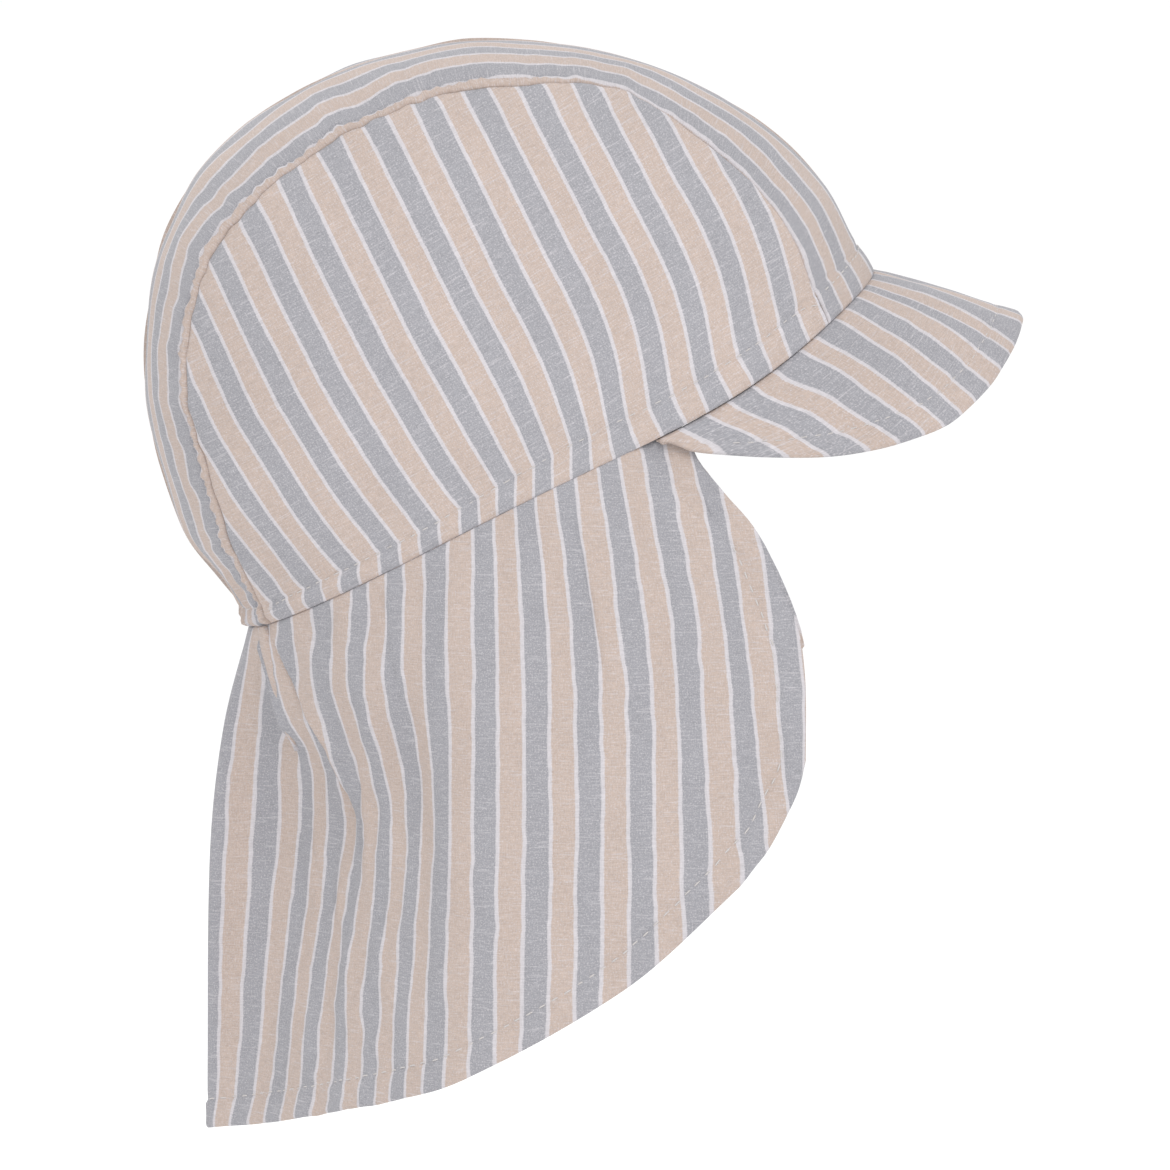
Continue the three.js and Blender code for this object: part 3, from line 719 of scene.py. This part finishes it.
def between(levels, down):
    """A smooth curve down the cloth through four places given for every point."""
    at = [0.0, FAN_AT, MID_AT, 1.0]
    slope = []
    for k in range(4):
        a, b = max(k - 1, 0), min(k + 1, 3)
        slope.append((levels[b] - levels[a]) / (at[b] - at[a]))
    value = 0.0
    for k in range(3):
        h = at[k + 1] - at[k]
        t = np.clip((down - at[k]) / h, 0, 1)
        a = 2 * t**3 - 3 * t**2 + 1
        part = a * levels[k] + (1 - a) * levels[k + 1]
        part = part + h * ((t**3 - 2 * t**2 + t) * slope[k] + (t**3 - t**2) * slope[k + 1])
        here = (down >= at[k]) if k == 2 else (down >= at[k]) & (down < at[k + 1])
        value = np.where(here, part, value)
    return value


def flap_base(cloth, down):
    """The right half of the flap without its folds."""
    s = np.sqrt(cloth**2 + NOSE**2) - NOSE
    x = between([through(CLOTH, level[:, 0], s) for level in LEVELS], down)
    y = between([through(CLOTH, level[:, 1], s) for level in LEVELS], down)
    top_z = through(CLOTH, TOP_Z, s)
    z = mix(top_z, through(CLOTH, HEM_Z, s), down)
    share = through([r[0] for r in SEATED], [r[1] for r in SEATED], np.minimum(s, LAST_SEAT))
    seat = seat_point(share * HALF_LENGTH, TUCK * smooth(share, 0.14, 0.26))
    hold = np.where(cloth <= LAST_SEAT, np.maximum(1 - down / FAN_AT, 0) ** 2, 0)
    x = x + hold * (seat[..., 0] - through(CLOTH, LEVELS[0][:, 0], s))
    y = y + hold * (seat[..., 1] - through(CLOTH, LEVELS[0][:, 1], s))
    z = z + hold * (seat[..., 2] - top_z)
    y = -np.sqrt(y**2 + (NOSE * np.tanh(cloth / NOSE)) ** 2 * bump(cloth / 14))
    return np.stack(np.broadcast_arrays(x, y, z), -1)


def flap_outline():
    """The free edge of the half flap as cloth across and height, from the nape's hem round to the front."""
    s = np.linspace(0, CLOTH_END, 260)
    flat = np.sqrt(s**2 + NOSE**2) - NOSE
    bottom = np.stack([s, through(CLOTH, HEM_Z, flat)], -1)
    s = np.linspace(CLOTH_END, LAST_SEAT, 60)
    flat = np.sqrt(s**2 + NOSE**2) - NOSE
    top = np.stack([s, through(CLOTH, TOP_Z, flat)], -1)
    return np.concatenate([bottom, top])


EDGE = flap_outline()


def edge_distance(s, z):
    """How far a place on the flat cloth is from the free edge."""
    flat = np.stack([s.ravel(), z.ravel()], -1)
    best = np.full(len(flat), 1e9)
    a, b = EDGE[:-1], EDGE[1:]
    for k in range(len(a)):
        d = b[k] - a[k]
        t = np.clip(((flat - a[k]) @ d) / max(d @ d, 1e-9), 0, 1)
        best = np.minimum(best, np.linalg.norm(flat - a[k] - t[:, None] * d, axis=1))
    return best.reshape(s.shape)


def pleat_map(pleat, cloth, down):
    """Where a pleat carries each place of the cloth, and how far it lifts it."""
    rows = pleat["rows"]
    at = [row["down"] for row in rows]
    seen, turn, edge, crease, deep = (
        through(at, [row[k] for row in rows], down) for k in ("seen", "turn", "edge", "crease", "deep")
    )
    deep = np.maximum(deep, 0)
    layered = smooth(deep, 0.1, 2.0)
    before, after = pleat["spread"]
    knots = [seen - before, seen - 4, seen, turn, edge, edge + 4.5, edge + after]
    places = [
        seen - before, mix(seen - 4, crease - 4, 0.3), crease - 0.6 + 0.4 * layered, crease + deep,
        crease + 0.4 - 0.5 * layered, crease + 4.2, edge + after,
    ]
    places[0] = np.maximum(places[0], knots[0])
    value = cloth + 0.0 * down
    slopes = []
    for k in range(7):
        a, b = max(k - 1, 0), min(k + 1, 6)
        slopes.append((places[b] - places[a]) / (knots[b] - knots[a]))
    slopes[0] = slopes[6] = 1.0
    for k in range(6):
        h = knots[k + 1] - knots[k]
        t = np.clip((cloth - knots[k]) / h, 0, 1)
        a = 2 * t**3 - 3 * t**2 + 1
        part = a * places[k] + (1 - a) * places[k + 1]
        part = part + h * ((t**3 - 2 * t**2 + t) * slopes[k] + (t**3 - t**2) * slopes[k + 1])
        value = np.where((cloth >= knots[k]) & (cloth < knots[k + 1]), part, value)
    fade = 1 - smooth(down, rows[-2]["down"], rows[-1]["down"] + 0.15)
    value = mix(cloth + 0.0 * down, value, fade)
    over = 0.5 * smooth(cloth, turn - 1.2, turn + 1.2) + 0.5 * smooth(cloth, edge - 1.3, edge + 0.8)
    over = over * np.exp(-np.maximum(cloth - edge - 1.0, 0) / 7)
    return value, pleat["high"] * layered * over


def crease_at(start_s, end_s, start, end, cloth, down):
    """How far each place is from a crease's line, and how strong the crease is at its height."""
    way = np.clip((down - start) / (end - start), 0, 1)
    strength = np.sin(np.pi * np.clip(way, 0.04, 1)) ** 0.7 * (way < 1) * (down >= start)
    return cloth - mix(start_s, end_s, way), strength


def hidden_cloth(cloth, down):
    """How far the stripes jump where a crease hides some of the cloth."""
    jump = 0.0
    for start_s, end_s, start, end, _, _, hidden in CREASES:
        off, strength = crease_at(start_s, end_s, start, end, cloth, down)
        jump = jump + 0.5 * hidden * strength * np.tanh(off / 0.7) * np.exp(-np.abs(off) / 8)
    return jump


def flap_surface(signed, down, hemmed=True):
    """The flap with its folds: signed runs along the cloth from the nape, down from its top to its hem."""
    cloth = np.abs(signed)
    carried = cloth.astype(float) + 0 * down
    raised = np.zeros(np.broadcast(cloth, down).shape)
    for pleat in PLEATS:
        moved, lifted = pleat_map(pleat, cloth, down)
        carried = carried + moved - cloth
        raised = raised + lifted
    for start_s, end_s, start, end, depth, wide, _ in CREASES:
        off, strength = crease_at(start_s, end_s, start, end, cloth, down)
        u, strength = off / wide, depth * strength
        carried = carried - 1.1 * strength * u * np.exp(-(u**2)) * wide / 3
        raised = raised + strength * (smooth(u, -0.15, 0.35) * np.exp(-np.maximum(u, 0) * 0.8) - 0.5 * bump(u / 0.5))
    carried = np.maximum(carried, 0)
    point = flap_base(carried, down)
    e = 0.6
    across = flap_base(carried + e, down) - flap_base(np.maximum(carried - e, 0), down)
    out = np.stack([across[..., 1], -across[..., 0], 0 * across[..., 0]], -1)
    out = out / np.maximum(np.linalg.norm(out, axis=-1, keepdims=True), 1e-9)
    lift = raised
    for start_s, end_s, start, end, high, wide in FLAP_FOLDS:
        way = np.clip((down - start) / (end - start), 0, 1)
        middle = mix(start_s, end_s, way)
        lift = lift + high * np.sin(np.pi * way) * bump((cloth - middle) / wide)
    z = point[..., 2]
    hand = np.where(signed > 0, 50.0, 0.0)
    turned = bump((cloth - 55) / 32)
    lift = lift + turned * (0.95 * noise(cloth / 6.5 + hand, z / 13, 61) + 0.5 * noise(cloth / 3.4 + hand, z / 6, 63))
    lift = lift + turned * 0.22 * noise(cloth / 5 + hand, z / 2.2, 66)
    lift = lift + 0.55 * noise(cloth / 16 + hand, z / 34, 65)
    top = down * (through(CLOTH, TOP_Z, cloth) - through(CLOTH, HEM_Z, cloth))
    seated = cloth < LAST_SEAT
    lift = lift + 0.5 * noise(cloth / 3.3 + hand, top / 16, 67) * np.exp(-top / 9) * seated
    tight = bump(cloth / 26)
    lift = lift + 1.0 * noise(cloth / 2.6 + hand, top / 11, 69) * np.exp(-top / 10) * tight
    hold = smooth(down, 0, 0.05)
    lift = lift * hold * mix(smooth(cloth, 1.5, 8), 1.0, 0.12)
    if hemmed:
        near = edge_distance(cloth + 0 * down, z)
        step = 0.28 * smooth(near, HEM + 0.8, HEM - 0.3) - 0.4 * bump((near - HEM) / 0.55)
        tucks = 0.22 * noise(cloth / 2.7 + z / 2.7 + hand, near / 6, 71) * bump((near - HEM) / 4)
        lift = lift + step + tucks
    point = point + out * lift[..., None]
    point[..., 1] = np.where(signed > 0, -point[..., 1], point[..., 1])
    return point


def neck_flap():
    steps = [np.arange(start, end, step) for start, end, step in FLAP_STEPS]
    half = np.concatenate(steps + [np.linspace(FLAP_STEPS[-1][1], CLOTH_END, 12)])
    signed = np.concatenate([-half[:0:-1], half])[:, None]
    down = dense(126, 0, 1, 0.005)[None, :]
    signed, down = np.broadcast_arrays(signed, down)
    p = flap_surface(signed, down)
    cloth_s = np.abs(signed)
    near = edge_distance(cloth_s, p[..., 2])
    pinch = 0.5 * smooth(near, HEM, 0) * smooth(cloth_s, 150, 60)
    wave = 0.3 * noise(cloth_s / 9, p[..., 2] / 12, 73) + 0.22 * noise(cloth_s / 5, p[..., 2] / 4, 74)
    swing = 1.4 * bump((cloth_s - 50) / 26) * np.cos(2 * np.pi * (p[..., 2] + 88.5) / 68)
    drift = 2.4 * bump((cloth_s - 66) / 17) * smooth(-p[..., 2], 115, 150)
    shown = cloth_s + hidden_cloth(cloth_s, down)
    phase = (shown - through(WANDER_CLOTH, WANDER, cloth_s) - swing - drift + pinch + wave + STRIPE / 2) / STRIPE + 32
    cloth = np.stack([phase, p[..., 2], signed], -1)
    made = sheet_mesh("neck_flap_cloth", p, FLAP_WALL, cloth, lambda q: (q + [20, 0, 0]) * [1, 1, 0], FLAP_CLOTH)
    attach(made, "root")
    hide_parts("neck_flap")
    return made


# ---------------------------------------------------------------- stitches


def stitches(name, paths, normals, sunk=0.0, stout=1.0):
    """Short thread stitches laid along paths, half sunk in the cloth."""
    points, faces = [], []
    rng = np.random.default_rng(7)
    for path, normal in zip(paths, normals):
        steps = np.linalg.norm(np.diff(path, axis=0), axis=1)
        run = np.concatenate([[0], np.cumsum(steps)])
        at = 0.6
        while at + STITCH < run[-1]:
            length = STITCH * rng.uniform(0.85, 1.1)
            here = np.linspace(at, at + length, 6)
            line = np.stack([np.interp(here, run, path[:, k]) for k in range(3)], -1)
            up = np.stack([np.interp(here, run, normal[:, k]) for k in range(3)], -1)
            up = up / np.linalg.norm(up, axis=1, keepdims=True)
            ahead = np.gradient(line, axis=0)
            ahead = ahead / np.linalg.norm(ahead, axis=1, keepdims=True)
            wide = np.cross(up, ahead)
            rise = np.array(STITCH_RISE) - sunk
            thick = stout * np.array(STITCH_THICK)
            base = len(points)
            line = line + wide * rng.uniform(-0.12, 0.12)
            for k in range(6):
                for j in range(6):
                    turn = 2 * np.pi * j / 6
                    high = up[k] * (rise[k] + thick[k] * math.sin(turn))
                    points.append(line[k] + high + wide[k] * thick[k] * math.cos(turn))
            for k in range(5):
                for j in range(6):
                    a, b = base + 6 * k + j, base + 6 * k + (j + 1) % 6
                    faces.append((a, b, b + 6, a + 6))
            faces.append(tuple(base + j for j in range(5, -1, -1)))
            faces.append(tuple(base + 30 + j for j in range(6)))
            at += length + STITCH_GAP * rng.uniform(0.8, 1.25)
    mesh = bpy.data.meshes.new(name)
    mesh.from_pydata((np.array(points) * MM).tolist(), [], faces)
    mesh.polygons.foreach_set("use_smooth", np.ones(len(mesh.polygons), bool))
    mesh.materials.append(THREAD)
    mesh.update()
    made = bpy.data.objects.new(name, mesh)
    bpy.context.scene.collection.objects.link(made)
    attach(made, "root")
    return made


def normals_along(surface, u, v, eu, ev, outward):
    """The normals of a surface at single places."""
    a = surface(u + eu, v) - surface(u - eu, v)
    b = surface(u, v + ev) - surface(u, v - ev)
    n = np.cross(a, b)
    n = n / np.linalg.norm(n, axis=1, keepdims=True)
    return n * np.sign(np.sum(n * outward, axis=1, keepdims=True))


def flap_stitches():
    """The stitches of the flap's hem."""
    step = np.gradient(EDGE, axis=0)
    step = step / np.linalg.norm(step, axis=1, keepdims=True)
    inward = np.stack([-step[:, 1], step[:, 0]], -1)
    line = EDGE + inward * HEM
    line = line[(line[:, 0] > 0) & (line[:, 0] < CLOTH_END - 1)]
    near = edge_distance(line[:, 0], line[:, 1])
    line = line[(near > HEM - 0.3) & (line[:, 1] < -15)]
    flat = np.sqrt(line[:, 0] ** 2 + NOSE**2) - NOSE
    top, low = through(CLOTH, TOP_Z, flat), through(CLOTH, HEM_Z, flat)
    down = (line[:, 1] - top) / (low - top)
    keep = (down > 0.02) & (down < 0.99)
    s, down = line[keep, 0], down[keep]
    paths, ups = [], []
    for hand in (-1, 1):
        surface = lambda a, b: flap_surface(a * hand, b)
        path = surface(s, down)
        outward = path * [1, 1, 0] + [20, 0, 0]
        paths.append(path)
        ups.append(normals_along(surface, s, down, 0.4, 0.004, outward))
    return stitches("flap_hem_stitches", paths, ups, 0.02, 0.85)


def casing_stitches():
    """The stitches of the casing round the opening."""
    share = np.linspace(0.02, 0.985, 500)
    paths, ups = [], []
    up = np.full(share.shape, 0.05)
    for _ in range(14):
        _, x, z, h, casing = side_surface(share, up)
        up = np.clip(up + (casing - h) / 90, 0.001, 0.98)
    place = lambda a, b: side_surface(a, b)[0]
    path = place(share, up)
    n = normals_along(place, share, up, 0.002, 0.004, from_inside(path))
    for hand in (1, -1):
        paths.append(path * [1, hand, 1])
        ups.append(n * [1, hand, 1])
    for low, high in ((0.0, 0.4), (2.7, np.pi)):
        side = np.linspace(-0.96, 0.96, 160)
        turn = np.full(side.shape, low + 0.08 if low == 0 else high - 0.06)
        place = lambda a, b: centre_surface(a, b)[0]
        path = place(turn, side)
        paths.append(path)
        ups.append(normals_along(place, turn, side, 0.004, 0.004, from_inside(path)))
    return stitches("casing_stitches", paths, ups, 0.06, 0.7)


def peak_stitches():
    """The stitches round the peak's outer edge."""
    side = np.linspace(-0.88, 0.88, 400)
    length = peak_surface(side, np.full(side.shape, 0.5))[2]
    out = 1 - PEAK_HEM / np.maximum(length, 9)
    place = lambda a, b: peak_surface(a, b)[0]
    path = place(side, out)
    n = normals_along(place, side, out, 0.004, 0.01, np.array([[0, 0, 1.0]]) + 0 * path)
    return stitches("peak_stitches", [path], [n], 0.09, 0.6)


# ---------------------------------------------------------------- build

centre_panel()
side_panel("crown_right_cloth", "crown_right_panel", 1)
side_panel("crown_left_cloth", "crown_left_panel", -1)
peak()
flap = neck_flap()
hem_thread = flap_stitches()
casing_thread = casing_stitches()
peak_thread = peak_stitches()

# ---------------------------------------------------------------- floor, light and camera


def stage_floor():
    """White paper far below the cap, which fills the picture."""
    mesh = bpy.data.meshes.new("floor")
    half, low = 30.0, -0.42
    corners = [(-half, -half, low), (half, -half, low), (half, half, low), (-half, half, low)]
    mesh.from_pydata(corners, [], [(0, 1, 2, 3)])
    m = bpy.data.materials.new("floor_paper")
    m.use_nodes = True
    skin = m.node_tree.nodes["Principled BSDF"]
    skin.inputs["Base Color"].default_value = (1, 1, 1, 1)
    skin.inputs["Roughness"].default_value = 0.95
    mesh.materials.append(m)
    floor = bpy.data.objects.new("floor", mesh)
    bpy.context.scene.collection.objects.link(floor)


def lamp(name, place, size, power):
    """A soft lamp that faces the cap."""
    data = bpy.data.lights.new(name, "AREA")
    data.shape = "DISK"
    data.size = size
    data.energy = power
    made = bpy.data.objects.new(name, data)
    made.location = place
    x, y, z = place
    made.rotation_euler = (math.acos(z / math.sqrt(x * x + y * y + z * z)), 0, math.atan2(x, -y))
    bpy.context.scene.collection.objects.link(made)


def light():
    world = bpy.data.worlds.new("studio")
    world.use_nodes = True
    world.node_tree.nodes["Background"].inputs[0].default_value = (1, 1, 1, 1)
    world.node_tree.nodes["Background"].inputs[1].default_value = 1.02
    bpy.context.scene.world = world
    lamp("key", (0.35, -1.9, 1.5), 1.2, 20)
    lamp("back", (-0.9, 1.5, 1.5), 1.5, 12)


def camera():
    """The photo's view: almost square on to the cap's right side, from a little above."""
    azimuth, elevation, distance = math.radians(-3.0), math.radians(5.5), 1.8
    pixels_per_mm = 4.1
    origin_pixel = (559.5, 447.0)
    frame_pixels = 1170
    flat = math.cos(elevation)
    back = np.array([math.sin(azimuth) * flat, -math.cos(azimuth) * flat, math.sin(elevation)])
    right = np.array([math.cos(azimuth), math.sin(azimuth), 0.0])
    up = np.cross(back, right)
    across = (origin_pixel[0] - frame_pixels / 2) / pixels_per_mm * MM
    down = (origin_pixel[1] - frame_pixels / 2) / pixels_per_mm * MM
    place = back * distance - right * across + up * down
    data = bpy.data.cameras.new("camera")
    data.sensor_width = 36
    data.lens = pixels_per_mm * distance / MM / frame_pixels * 36
    made = bpy.data.objects.new("camera", data)
    m = np.eye(4)
    m[:3, 0], m[:3, 1], m[:3, 2], m[:3, 3] = right, up, back, place
    made.matrix_world = Matrix(m.tolist())
    bpy.context.scene.collection.objects.link(made)
    bpy.context.scene.camera = made


stage_floor()
light()
camera()
bpy.context.scene.view_settings.view_transform = "Standard"
